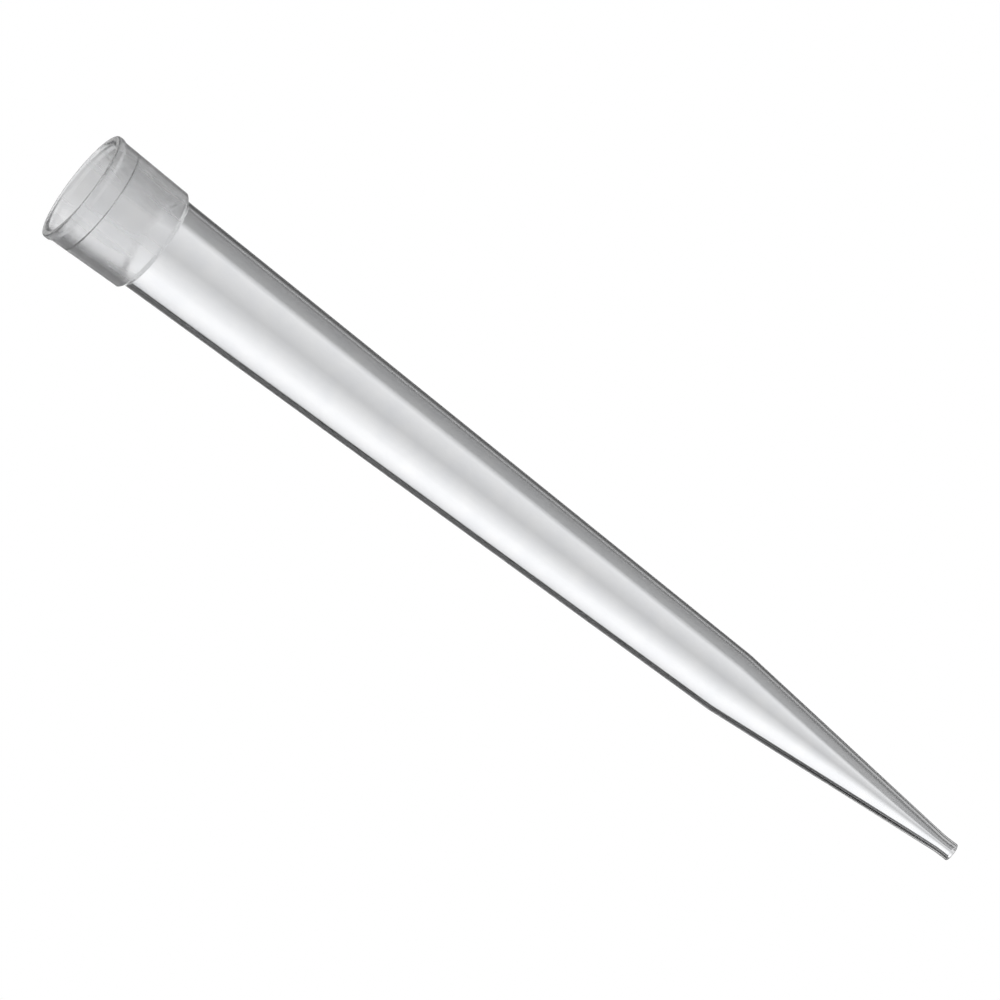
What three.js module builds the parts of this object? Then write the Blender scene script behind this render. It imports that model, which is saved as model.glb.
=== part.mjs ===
// Pipette tip of 5 mL nominal capacity: one thin-walled injection moulding in clear
// polypropylene. It stands on its rim with the mouth down, its axis on +Z and the
// origin at the centre of the rim. Millimetres.
import * as THREE from 'three';

// Bore, from the mouth to the point
const SEAL_BORE = 11.74; // diameter that grips the pipette's nozzle cone
const SEAL_DRAFT_DEG = 0.5; // the seal bore narrows at this half-angle
const STOP_DRAFT_DEG = 3; // past the seal it narrows faster, which stops the cone
const LEDGE_WIDTH = 0.17; // the mouth is wider than the seal bore by this, all round
const KINK_BORE = 7.26; // diameter where the point cone begins
const ORIFICE_BORE = 1.44; // diameter of the hole at the point

// Walls, measured across the axis
const MOUTH_WALL = 0.95;
const BODY_TOP_WALL = 0.46;
const KINK_WALL = 0.39;
const ORIFICE_WALL = 0.42;
const COLLAR_DRAFT_DEG = 2; // the collar narrows from the lip at this half-angle
const LIP_PROUD = 0.17; // the lip stands out from the collar by this
const RIM_CHAMFER_WIDTH = 0.33; // lead-in chamfer round the inside of the rim

// Lengths along the axis
const OVERALL_LENGTH = 130;
const RIM_CHAMFER_DEPTH = 0.2;
const LIP_LENGTH = 0.65;
const LIP_RUNOUT = 0.45; // slope from the lip down to the collar
const MOUTH_DEPTH = 2.9;
const LEDGE_RUN = 0.19; // the ledge between mouth and seal slopes over this
const SEAL_LENGTH = 2.4;
const COLLAR_PAST_SEAL = 4.85; // the collar runs on past the seal by this
const SHOULDER_LENGTH = 0.55; // slope from the collar down to the body
const POINT_LENGTH = 33.7; // point cone and nozzle together
const NOZZLE_LENGTH = 1.8; // straight end of the point

// Edge roundings
const RIM_OUTER_ROUND = 0.2;
const RIM_INNER_ROUND = 0.1;
const LIP_ROUND = 0.25;
const SHOULDER_ROUND = 0.25;
const LEDGE_ROUND = 0.1;
const KINK_ROUND = 12;
const ORIFICE_ROUND = 0.08;

const SEGMENTS = 72; // facets round the axis
const ARC_STEP_DEG = 46; // coarsest turn between two facets of a rounding

const slope = (degrees) => Math.tan(THREE.MathUtils.degToRad(degrees));

// Heights above the rim
const ledgeTop = MOUTH_DEPTH + LEDGE_RUN;
const sealTop = ledgeTop + SEAL_LENGTH;
const collarTop = sealTop + COLLAR_PAST_SEAL;
const bodyStart = collarTop + SHOULDER_LENGTH;
const lipTop = LIP_LENGTH + LIP_RUNOUT;
const kinkHeight = OVERALL_LENGTH - POINT_LENGTH;
const nozzleStart = OVERALL_LENGTH - NOZZLE_LENGTH;

// Radii: the bore first, then the outside as bore plus wall
const sealRadius = SEAL_BORE / 2;
const sealTopRadius = sealRadius - SEAL_LENGTH * slope(SEAL_DRAFT_DEG);
const bodyBoreRadius = sealTopRadius - (bodyStart - sealTop) * slope(STOP_DRAFT_DEG);
const mouthRadius = sealRadius + LEDGE_WIDTH;
const rimInnerRadius = mouthRadius + RIM_CHAMFER_WIDTH;
const kinkBoreRadius = KINK_BORE / 2;
const orificeRadius = ORIFICE_BORE / 2;
const collarRadius = mouthRadius + MOUTH_WALL;
const lipRadius = collarRadius + LIP_PROUD;
const collarTopRadius = collarRadius - (collarTop - lipTop) * slope(COLLAR_DRAFT_DEG);
const bodyTopRadius = bodyBoreRadius + BODY_TOP_WALL;
const kinkRadius = kinkBoreRadius + KINK_WALL;
const nozzleRadius = orificeRadius + ORIFICE_WALL;

// The section's corners as [radius, height, rounding]: up the outside, down the bore
const outside = [
  [lipRadius, 0, RIM_OUTER_ROUND],
  [lipRadius, LIP_LENGTH, LIP_ROUND],
  [collarRadius, lipTop, LIP_ROUND],
  [collarTopRadius, collarTop, SHOULDER_ROUND],
  [bodyTopRadius, bodyStart, SHOULDER_ROUND],
  [kinkRadius, kinkHeight, KINK_ROUND],
  [nozzleRadius, nozzleStart, 0],
  [nozzleRadius, OVERALL_LENGTH, ORIFICE_ROUND],
];
const bore = [
  [orificeRadius, OVERALL_LENGTH, 0],
  [orificeRadius, nozzleStart, 0],
  [kinkBoreRadius, kinkHeight, KINK_ROUND],
  [bodyBoreRadius, bodyStart, KINK_ROUND],
  [sealTopRadius, sealTop, KINK_ROUND],
  [sealRadius, ledgeTop, LEDGE_ROUND],
  [mouthRadius, MOUTH_DEPTH, LEDGE_ROUND],
  [mouthRadius, RIM_CHAMFER_DEPTH, RIM_INNER_ROUND],
  [rimInnerRadius, 0, RIM_INNER_ROUND],
];

// One corner as the points of its rounding, which takes at most half of each side
function roundedCorner(before, [radius, height, rounding], after) {
  const corner = new THREE.Vector2(radius, height);
  const toBefore = new THREE.Vector2(before[0], before[1]).sub(corner);
  const toAfter = new THREE.Vector2(after[0], after[1]).sub(corner);
  const turn = Math.PI - toBefore.angleTo(toAfter);
  if (rounding === 0 || turn < 1e-6) return [corner];

  const roomBefore = toBefore.length() / 2;
  const roomAfter = toAfter.length() / 2;
  const reach = Math.min(rounding * Math.tan(turn / 2), roomBefore, roomAfter);
  const arcRadius = reach / Math.tan(turn / 2);
  const start = corner.clone().add(toBefore.setLength(reach));
  const end = corner.clone().add(toAfter.setLength(reach));
  const towardsCentre = start.clone().add(end).multiplyScalar(0.5).sub(corner);
  const centre = corner.clone().add(towardsCentre.setLength(Math.hypot(reach, arcRadius)));

  const fromAngle = start.clone().sub(centre).angle();
  const sweep = end.clone().sub(centre).angle() - fromAngle;
  const shortSweep = Math.atan2(Math.sin(sweep), Math.cos(sweep));
  const steps = Math.ceil(THREE.MathUtils.radToDeg(turn) / ARC_STEP_DEG);
  const points = [];
  for (let i = 0; i <= steps; i++) {
    const angle = fromAngle + (shortSweep * i) / steps;
    const onArc = new THREE.Vector2(Math.cos(angle), Math.sin(angle));
    points.push(onArc.multiplyScalar(arcRadius).add(centre));
  }
  return points;
}

// The closed section, its corners rounded
function section(corners) {
  const count = corners.length;
  const points = corners.flatMap((corner, i) =>
    roundedCorner(corners[(i + count - 1) % count], corner, corners[(i + 1) % count]));
  points.push(points[0].clone());
  return points;
}

const clearPolypropylene = new THREE.MeshStandardMaterial({
  color: 0xe9ebee,
  roughness: 0.12,
  metalness: 0,
  transparent: true,
  opacity: 0.4,
});

const geometry = new THREE.LatheGeometry(section([...outside, ...bore]), SEGMENTS);
geometry.rotateX(Math.PI / 2); // the lathe turns about Y, and the tip stands on Z

const pipetteTip = new THREE.Mesh(geometry, clearPolypropylene);
pipetteTip.name = 'pipette_tip';

const tip = new THREE.Group();
tip.add(pipetteTip);

export default tip;
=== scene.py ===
"""A clear 5 mL pipette tip, standing on its rim with the point up, and its studio.

Metres, with the tip's axis on Z and the rim on the floor.
"""
import math

import bmesh
import bpy
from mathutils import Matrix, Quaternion, Vector


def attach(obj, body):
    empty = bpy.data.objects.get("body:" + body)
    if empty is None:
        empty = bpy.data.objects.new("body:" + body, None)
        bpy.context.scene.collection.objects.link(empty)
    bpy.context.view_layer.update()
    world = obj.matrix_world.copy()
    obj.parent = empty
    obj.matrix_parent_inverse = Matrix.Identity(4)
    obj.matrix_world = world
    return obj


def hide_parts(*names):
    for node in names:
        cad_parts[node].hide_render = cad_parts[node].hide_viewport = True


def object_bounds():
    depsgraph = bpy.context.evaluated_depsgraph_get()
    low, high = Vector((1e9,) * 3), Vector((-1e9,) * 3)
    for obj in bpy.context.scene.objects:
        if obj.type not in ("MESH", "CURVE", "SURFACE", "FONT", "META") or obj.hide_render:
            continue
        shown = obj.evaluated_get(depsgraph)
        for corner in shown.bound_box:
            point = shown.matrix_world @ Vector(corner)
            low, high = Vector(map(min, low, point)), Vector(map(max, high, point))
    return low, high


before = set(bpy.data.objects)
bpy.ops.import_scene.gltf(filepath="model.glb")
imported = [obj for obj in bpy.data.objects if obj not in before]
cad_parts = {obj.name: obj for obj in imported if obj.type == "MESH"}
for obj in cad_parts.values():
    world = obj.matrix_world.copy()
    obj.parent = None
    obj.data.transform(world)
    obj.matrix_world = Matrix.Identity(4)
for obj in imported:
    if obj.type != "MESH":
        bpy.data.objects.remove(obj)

cad_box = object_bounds()
cad_low, cad_high = cad_box

MM = 0.001
QUARTER_TURN = math.radians(90)

# ---------------------------------------------------------------- sizes of the tip
OVERALL_LENGTH = cad_high.z - cad_low.z
LIP_RADIUS = (cad_high.x - cad_low.x) / 2

SEAL_RADIUS = 5.87 * MM  # the bore that grips the pipette's nozzle cone
LEDGE_WIDTH = 0.17 * MM  # the mouth is wider than the seal bore by this, all round
RIM_CHAMFER_WIDTH = 0.33 * MM
KINK_BORE_RADIUS = 3.63 * MM
ORIFICE_RADIUS = 0.72 * MM
BODY_TOP_WALL = 0.46 * MM
KINK_WALL = 0.39 * MM
ORIFICE_WALL = 0.42 * MM
LIP_PROUD = 0.17 * MM  # the lip stands out from the collar by this
SEAL_DRAFT = math.tan(math.radians(0.5))
STOP_DRAFT = math.tan(math.radians(3))  # past the seal the bore narrows faster
COLLAR_DRAFT = math.tan(math.radians(2))
MOUTH_RADIUS = SEAL_RADIUS + LEDGE_WIDTH
RIM_INNER_RADIUS = MOUTH_RADIUS + RIM_CHAMFER_WIDTH

# Heights above the rim
RIM_CHAMFER_DEPTH = 0.2 * MM
LIP_TOP = 0.65 * MM
LIP_RUNOUT_TOP = LIP_TOP + 0.45 * MM
MOUTH_DEPTH = 2.9 * MM
LEDGE_TOP = MOUTH_DEPTH + 0.19 * MM
SEAL_TOP = LEDGE_TOP + 2.4 * MM
COLLAR_TOP = SEAL_TOP + 4.85 * MM
BODY_START = COLLAR_TOP + 0.55 * MM
KINK_HEIGHT = OVERALL_LENGTH - 33.7 * MM
NOZZLE_START = OVERALL_LENGTH - 1.8 * MM

# Edge roundings
RIM_OUTER_ROUND = 0.2 * MM
RIM_INNER_ROUND = 0.1 * MM
LIP_ROUND = 0.25 * MM
SHOULDER_ROUND = 0.25 * MM
LEDGE_ROUND = 0.1 * MM
KINK_ROUND = 12 * MM
ORIFICE_ROUND = 0.08 * MM
ROUNDING_SHARE = 0.45  # a rounding takes at most this share of each side of its corner

# Fineness of the mesh
SPIN_STEPS = 256
ROUNDING_STEPS = 6
SAME_POINT = 0.001 * MM  # points nearer to each other than this are one
LARGE_FACE_WEIGHT = 100  # the shading follows the large faces right up to the roundings

# ---------------------------------------------------------------- surface of the moulding
# A real tip's flow lines and mottling are finer than this. They are drawn as coarse as
# they need to be to show in a picture of the whole tip.
FLOW_LINE_WIDTH = 2.5 * MM
FLOW_LINE_LENGTH = 40 * MM
FLOW_LINE_DEPTH = 0.004 * MM
MOTTLE_SIZE = 2.5 * MM
USUAL_NOISE = (0.3, 0.7)  # nearly all of a noise pattern lies between these values

# Roughness
BODY_POLISH = (0.005, 0.02)  # it varies between these with the flow lines
BORE_SATIN = 0.25  # inside the collar
COLLAR_POLISH = 0.1  # outside the collar
COLLAR_STREAKS = (0.4, 1.5)  # the flow lines multiply the collar's roughness by these
FINISH_CHANGE = 0.2 * MM  # the satin gives way to the polish over this, across the rim

COLLAR_CLEARNESS = 0.9  # share of the light that goes in and isn't scattered at the surface
BODY_CLEARNESS = 0.995
REFRACTIVE_INDEX = 1.49  # polypropylene
ABSORPTION = 60.0  # per metre; each millimetre of plastic takes 6% of the light
CLEAR_TINT = "FFFFFF"
MOTTLE_TINT = "F7F8FA"

# ---------------------------------------------------------------- camera and studio
CAMERA_DISTANCE = 1500 * MM
CAMERA_ELEVATION = -13.85  # degrees; it looks up at the tip from below its rim
CAMERA_ROLL = -127.45  # degrees; it lays the tip across the picture, point to the lower right
CAMERA_LENS = 469.3  # millimetres
CAMERA_SENSOR = 36  # millimetres
AIM_RIGHT = -2.4 * MM  # the aim is off the tip's middle by this
AIM_UP = 2.6 * MM

FLOOR_SIZE = 3.0
FLOOR_TONE = "EDEDED"
WHITE = "FFFFFF"
HORIZON_TONE_UP_TO = 2  # degrees above the horizon
WHITE_FROM = 9  # degrees above the horizon

# The light wall: a ring of cards round the tip that only glass and gloss see.
# Each card has its two edges, in degrees from straight behind the tip, and a brightness.
# Between two cards the brightness shades over evenly.
WALL_RADIUS = 600 * MM
WALL_TOP = 500 * MM
WALL_SIDES = 128
WALL_FADE_TOP = 110 * MM  # below this the cards fade into the floor's tone
WALL_FRONT = 0.6  # brightness straight in front of the tip, behind the camera
WALL_CARDS = (
    (-140, -100, 1.2),  # softbox, left
    (-60, -40, 0.0),  # black flag
    (-33, -32, 0.3),  # the gap between the two flags
    (-27, -15, 0.0),  # black flag
    (-14, -3, 1.1),  # white backdrop
    (0, 1, 0.63),  # its shaded part
    (2, 3.3, 0.82),  # its edge, lighter again
    (3.4, 12, 0.27),  # grey card
    (15, 36, 0.1),  # dark flag
    (40, 60, 0.5),  # grey card
    (100, 140, 1.2),  # softbox, right
)

# Sockets that share their name with another socket of the node are given by number.
MIX_COLOUR_A, MIX_COLOUR_B, MIXED_COLOUR = 6, 7, 2
FACTOR_A, FACTOR_B = 0, 1
FRONT_SHADER, BACK_SHADER = 1, 2


def linear(hex_colour):
    """An sRGB hex colour as linear RGBA."""
    channels = []
    for at in (0, 2, 4):
        value = int(hex_colour[at:at + 2], 16) / 255
        channels.append(value / 12.92 if value <= 0.04045 else ((value + 0.055) / 1.055) ** 2.4)
    return (*channels, 1.0)


def grey(value):
    """A linear grey as RGBA."""
    return (value, value, value, 1.0)


def add_node(tree, kind, settings=None, links=None):
    """Adds a node, sets its properties and input values, and links outputs to its inputs."""
    node = tree.nodes.new(kind)
    for name, value in (settings or {}).items():
        if isinstance(name, int) or name in node.inputs:
            node.inputs[name].default_value = value
        else:
            setattr(node, name, value)
    for name, output in (links or {}).items():
        tree.links.new(output, node.inputs[name])
    return node


def new_material(name):
    """An empty node material and its tree."""
    material = bpy.data.materials.new(name)
    material.use_nodes = True
    material.node_tree.nodes.clear()
    return material, material.node_tree


def deselect_all():
    bpy.ops.object.select_all(action="DESELECT")


# ---------------------------------------------------------------- the tip
def section_corners():
    """(radius, height, rounding) round the section: up the outside, then down the bore."""
    seal_top_radius = SEAL_RADIUS - (SEAL_TOP - LEDGE_TOP) * SEAL_DRAFT
    body_bore_radius = seal_top_radius - (BODY_START - SEAL_TOP) * STOP_DRAFT
    collar_radius = LIP_RADIUS - LIP_PROUD
    collar_top_radius = collar_radius - (COLLAR_TOP - LIP_RUNOUT_TOP) * COLLAR_DRAFT
    nozzle_radius = ORIFICE_RADIUS + ORIFICE_WALL
    return [
        (LIP_RADIUS, 0.0, RIM_OUTER_ROUND),
        (LIP_RADIUS, LIP_TOP, LIP_ROUND),
        (collar_radius, LIP_RUNOUT_TOP, LIP_ROUND),
        (collar_top_radius, COLLAR_TOP, SHOULDER_ROUND),
        (body_bore_radius + BODY_TOP_WALL, BODY_START, SHOULDER_ROUND),
        (KINK_BORE_RADIUS + KINK_WALL, KINK_HEIGHT, KINK_ROUND),
        (nozzle_radius, NOZZLE_START, KINK_ROUND),
        (nozzle_radius, OVERALL_LENGTH, ORIFICE_ROUND),
        (ORIFICE_RADIUS, OVERALL_LENGTH, ORIFICE_ROUND),
        (ORIFICE_RADIUS, NOZZLE_START, KINK_ROUND),
        (KINK_BORE_RADIUS, KINK_HEIGHT, KINK_ROUND),
        (body_bore_radius, BODY_START, KINK_ROUND),
        (seal_top_radius, SEAL_TOP, KINK_ROUND),
        (SEAL_RADIUS, LEDGE_TOP, LEDGE_ROUND),
        (MOUTH_RADIUS, MOUTH_DEPTH, LEDGE_ROUND),
        (MOUTH_RADIUS, RIM_CHAMFER_DEPTH, RIM_INNER_ROUND),
        (RIM_INNER_RADIUS, 0.0, RIM_INNER_ROUND),
    ]


def round_corner(mesh, before, corner, after):
    """Bevels one corner of the section into an arc."""
    radius, height, rounding = corner
    at = Vector((radius, 0.0, height))
    to_before = Vector((before[0], 0.0, before[1])) - at
    to_after = Vector((after[0], 0.0, after[1])) - at
    turn = math.pi - to_before.angle(to_after)
    room = ROUNDING_SHARE * min(to_before.length, to_after.length)
    reach = min(rounding * math.tan(turn / 2), room)
    edit = bmesh.from_edit_mesh(mesh)
    for vertex in edit.verts:
        vertex.select_set((vertex.co - at).length < SAME_POINT)
    edit.select_flush_mode()
    bmesh.update_edit_mesh(mesh)
    bpy.ops.mesh.bevel(offset=reach, segments=ROUNDING_STEPS, affect="VERTICES")


def model_tip():
    """The tip's section, drawn by extruding one point round its corners, and spun about Z."""
    corners = section_corners()
    deselect_all()
    bpy.ops.mesh.primitive_plane_add(size=1 * MM, location=(0, 0, 0))
    tip = bpy.context.object
    tip.name = tip.data.name = "clear_tip"
    bpy.ops.object.mode_set(mode="EDIT")
    bpy.ops.mesh.merge(type="CENTER")
    bpy.ops.transform.translate(value=(corners[0][0], 0, corners[0][1]))
    for here, following in zip(corners, corners[1:] + corners[:1]):
        step = (following[0] - here[0], 0, following[1] - here[1])
        bpy.ops.mesh.extrude_vertices_move(TRANSFORM_OT_translate={"value": step})
    bpy.ops.mesh.select_all(action="SELECT")
    bpy.ops.mesh.remove_doubles(threshold=SAME_POINT)
    for i, corner in enumerate(corners):
        round_corner(tip.data, corners[i - 1], corner, corners[(i + 1) % len(corners)])

    bpy.ops.mesh.select_all(action="SELECT")
    bpy.ops.mesh.spin(steps=SPIN_STEPS, angle=4 * QUARTER_TURN, center=(0, 0, 0), axis=(0, 0, 1))
    bpy.ops.mesh.select_all(action="SELECT")
    bpy.ops.mesh.remove_doubles(threshold=SAME_POINT)
    bpy.ops.mesh.normals_make_consistent(inside=False)
    bpy.ops.object.mode_set(mode="OBJECT")
    bpy.ops.object.shade_smooth()
    weighted = tip.modifiers.new("weighted normals", "WEIGHTED_NORMAL")
    weighted.weight = LARGE_FACE_WEIGHT
    bpy.ops.object.modifier_apply(modifier=weighted.name)
    return tip


def flow_lines(tree, place):
    """Noise drawn out along the tip, the way that the plastic ran into its mould."""
    drawn_out = add_node(tree, "ShaderNodeMapping", {
        "Scale": (1 / FLOW_LINE_WIDTH, 1 / FLOW_LINE_WIDTH, 1 / FLOW_LINE_LENGTH),
    }, {"Vector": place.outputs["Object"]})
    return add_node(tree, "ShaderNodeTexNoise", {"Scale": 1.0, "Detail": 2.0},
                    {"Vector": drawn_out.outputs["Vector"]})


def moulded_roughness(tree, axes, on_body, flow):
    """Satin in the collar's bore, smoother outside the collar and polished on the body.

    The flow lines make each of them uneven.
    """
    low, high = USUAL_NOISE
    across = add_node(tree, "ShaderNodeCombineXYZ", links={
        "X": axes.outputs["X"],
        "Y": axes.outputs["Y"],
    })
    radius = add_node(tree, "ShaderNodeVectorMath", {"operation": "LENGTH"},
                      {"Vector": across.outputs["Vector"]})
    finish = add_node(tree, "ShaderNodeMapRange", {
        "From Min": RIM_INNER_RADIUS, "From Max": RIM_INNER_RADIUS + FINISH_CHANGE,
        "To Min": BORE_SATIN, "To Max": COLLAR_POLISH,
    }, {"Value": radius.outputs["Value"]})
    streaks = add_node(tree, "ShaderNodeMapRange", {
        "From Min": low, "From Max": high,
        "To Min": COLLAR_STREAKS[0], "To Max": COLLAR_STREAKS[1],
    }, {"Value": flow.outputs["Fac"]})
    collar = add_node(tree, "ShaderNodeMath", {"operation": "MULTIPLY"}, {
        FACTOR_A: finish.outputs["Result"],
        FACTOR_B: streaks.outputs["Result"],
    })
    body = add_node(tree, "ShaderNodeMapRange", {
        "From Min": low, "From Max": high,
        "To Min": BODY_POLISH[0], "To Max": BODY_POLISH[1],
    }, {"Value": flow.outputs["Fac"]})
    return add_node(tree, "ShaderNodeMix", links={
        "Factor": on_body.outputs["Result"],
        "A": collar.outputs["Value"],
        "B": body.outputs["Result"],
    })


def clear_polypropylene():
    """Injection-moulded clear polypropylene.

    Polished steel leaves the body glassy, with faint flow lines along it. The collar's wall
    is thicker and cools slower, so it is a little hazy, and its bore comes from a satin core
    pin. The tint is mottled very faintly, and long ways through the plastic look grey.
    """
    material, tree = new_material("injection_moulded_clear_polypropylene")
    place = add_node(tree, "ShaderNodeTexCoord")
    axes = add_node(tree, "ShaderNodeSeparateXYZ", links={"Vector": place.outputs["Object"]})

    # 0 on the collar and 1 on the body, turning over at the shoulder
    on_body = add_node(tree, "ShaderNodeMapRange", {
        "interpolation_type": "SMOOTHSTEP",
        "From Min": COLLAR_TOP,
        "From Max": BODY_START,
    }, {"Value": axes.outputs["Z"]})

    flow = flow_lines(tree, place)
    roughness = moulded_roughness(tree, axes, on_body, flow)
    relief = add_node(tree, "ShaderNodeBump", {"Strength": 1.0, "Distance": FLOW_LINE_DEPTH},
                      {"Height": flow.outputs["Fac"]})
    clearness = add_node(tree, "ShaderNodeMapRange", {
        "To Min": COLLAR_CLEARNESS,
        "To Max": BODY_CLEARNESS,
    }, {"Value": on_body.outputs["Result"]})
    mottle = add_node(tree, "ShaderNodeTexNoise", {"Scale": 1 / MOTTLE_SIZE, "Detail": 1.0},
                      {"Vector": place.outputs["Object"]})
    tint = add_node(tree, "ShaderNodeMix", {
        "data_type": "RGBA",
        MIX_COLOUR_A: linear(CLEAR_TINT),
        MIX_COLOUR_B: linear(MOTTLE_TINT),
    }, {"Factor": mottle.outputs["Fac"]})

    shader = add_node(tree, "ShaderNodeBsdfPrincipled", {"IOR": REFRACTIVE_INDEX}, {
        "Base Color": tint.outputs[MIXED_COLOUR],
        "Roughness": roughness.outputs["Result"],
        "Transmission Weight": clearness.outputs["Result"],
        "Normal": relief.outputs["Normal"],
    })
    depth = add_node(tree, "ShaderNodeVolumeAbsorption", {
        "Color": linear("000000"),
        "Density": ABSORPTION,
    })
    add_node(tree, "ShaderNodeOutputMaterial", links={
        "Surface": shader.outputs["BSDF"],
        "Volume": depth.outputs["Volume"],
    })
    return material


# ---------------------------------------------------------------- the studio
def make_floor():
    """A plain pale floor that is seen from above only."""
    deselect_all()
    bpy.ops.mesh.primitive_plane_add(size=FLOOR_SIZE, location=(0, 0, cad_low.z))
    floor = bpy.context.object
    floor.name = "floor"
    material, tree = new_material("pale_matt_floor")
    facing = add_node(tree, "ShaderNodeNewGeometry")
    paint = add_node(tree, "ShaderNodeBsdfDiffuse", {"Color": linear(FLOOR_TONE)})
    clear = add_node(tree, "ShaderNodeBsdfTransparent")
    surface = add_node(tree, "ShaderNodeMixShader", links={
        "Fac": facing.outputs["Backfacing"],
        FRONT_SHADER: paint.outputs["BSDF"],
        BACK_SHADER: clear.outputs["BSDF"],
    })
    add_node(tree, "ShaderNodeOutputMaterial", links={"Surface": surface.outputs["Shader"]})
    floor.data.materials.append(material)


def card_brightness(tree, place, brightest):
    """The cards' brightness round the wall, as a share of the brightest."""
    turned = add_node(tree, "ShaderNodeMapping", {"Rotation": (0, 0, -QUARTER_TURN)},
                      {"Vector": place.outputs["Object"]})
    angle = add_node(tree, "ShaderNodeTexGradient", {"gradient_type": "RADIAL"},
                     {"Vector": turned.outputs["Vector"]})
    ramp = add_node(tree, "ShaderNodeValToRGB", links={"Fac": angle.outputs["Fac"]})
    stops = ramp.color_ramp.elements
    stops[0].color = stops[1].color = grey(WALL_FRONT / brightest)
    for left_edge, right_edge, brightness in WALL_CARDS:
        for degrees in (left_edge, right_edge):
            stops.new(0.5 + degrees / 360).color = grey(brightness / brightest)
    return ramp


def make_light_wall():
    """A glowing cylinder round the tip, with its brightness set by the angle."""
    deselect_all()
    bpy.ops.mesh.primitive_cylinder_add(
        vertices=WALL_SIDES, radius=WALL_RADIUS, depth=WALL_TOP, end_fill_type="NOTHING",
        location=(0, 0, WALL_TOP / 2))
    wall = bpy.context.object
    wall.name = "light_wall"
    bpy.ops.object.transform_apply(location=True)

    material, tree = new_material("light_wall_glow")
    place = add_node(tree, "ShaderNodeTexCoord")
    axes = add_node(tree, "ShaderNodeSeparateXYZ", links={"Vector": place.outputs["Object"]})
    brightest = max(brightness for _, _, brightness in WALL_CARDS)
    cards = card_brightness(tree, place, brightest)
    rise = add_node(tree, "ShaderNodeMapRange", {
        "interpolation_type": "SMOOTHSTEP",
        "From Max": WALL_FADE_TOP,
    }, {"Value": axes.outputs["Z"]})
    faded = add_node(tree, "ShaderNodeMix", {
        "data_type": "RGBA",
        MIX_COLOUR_A: grey(linear(FLOOR_TONE)[0] / brightest),
    }, {
        "Factor": rise.outputs["Result"],
        MIX_COLOUR_B: cards.outputs["Color"],
    })
    glow = add_node(tree, "ShaderNodeEmission", {"Strength": brightest},
                    {"Color": faded.outputs[MIXED_COLOUR]})
    add_node(tree, "ShaderNodeOutputMaterial", links={"Surface": glow.outputs["Emission"]})
    wall.data.materials.append(material)

    # Reflections and rays through the plastic see the wall, and nothing else does.
    wall.visible_camera = False
    wall.visible_diffuse = False
    wall.visible_shadow = False


def make_world():
    """White overhead, easing into the floor's tone at the horizon."""
    world = bpy.data.worlds.new("white_studio")
    bpy.context.scene.world = world
    world.use_nodes = True
    world.node_tree.nodes.clear()
    tree = world.node_tree
    place = add_node(tree, "ShaderNodeTexCoord")
    axes = add_node(tree, "ShaderNodeSeparateXYZ", links={"Vector": place.outputs["Generated"]})
    rise = add_node(tree, "ShaderNodeMapRange", {
        "interpolation_type": "SMOOTHSTEP",
        "From Min": math.sin(math.radians(HORIZON_TONE_UP_TO)),
        "From Max": math.sin(math.radians(WHITE_FROM)),
    }, {"Value": axes.outputs["Z"]})
    sky = add_node(tree, "ShaderNodeMix", {
        "data_type": "RGBA",
        MIX_COLOUR_A: linear(FLOOR_TONE),
        MIX_COLOUR_B: linear(WHITE),
    }, {"Factor": rise.outputs["Result"]})
    light = add_node(tree, "ShaderNodeBackground", {"Strength": 1.0},
                     {"Color": sky.outputs[MIXED_COLOUR]})
    add_node(tree, "ShaderNodeOutputWorld", links={"Surface": light.outputs["Background"]})


def make_camera():
    """A long lens, looking slightly up into the mouth."""
    data = bpy.data.cameras.new("camera")
    data.lens = CAMERA_LENS
    data.sensor_width = CAMERA_SENSOR
    camera = bpy.data.objects.new("camera", data)
    bpy.context.scene.collection.objects.link(camera)
    tilt = math.radians(CAMERA_ELEVATION)
    view = Vector((0, math.cos(tilt), -math.sin(tilt)))
    upright = view.to_track_quat("-Z", "Y")
    turned = Quaternion(view, math.radians(CAMERA_ROLL)) @ upright
    camera.rotation_mode = "QUATERNION"
    camera.rotation_quaternion = turned
    right = turned @ Vector((1, 0, 0))
    up = turned @ Vector((0, 1, 0))
    aim = (cad_low + cad_high) / 2 + right * AIM_RIGHT + up * AIM_UP
    camera.location = aim - view * CAMERA_DISTANCE
    bpy.context.scene.camera = camera


def main():
    tip = model_tip()
    tip.data.materials.append(clear_polypropylene())
    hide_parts("pipette_tip")
    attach(tip, "root")

    make_floor()
    make_light_wall()
    make_world()
    make_camera()
    bpy.context.scene.view_settings.view_transform = "Standard"


main()
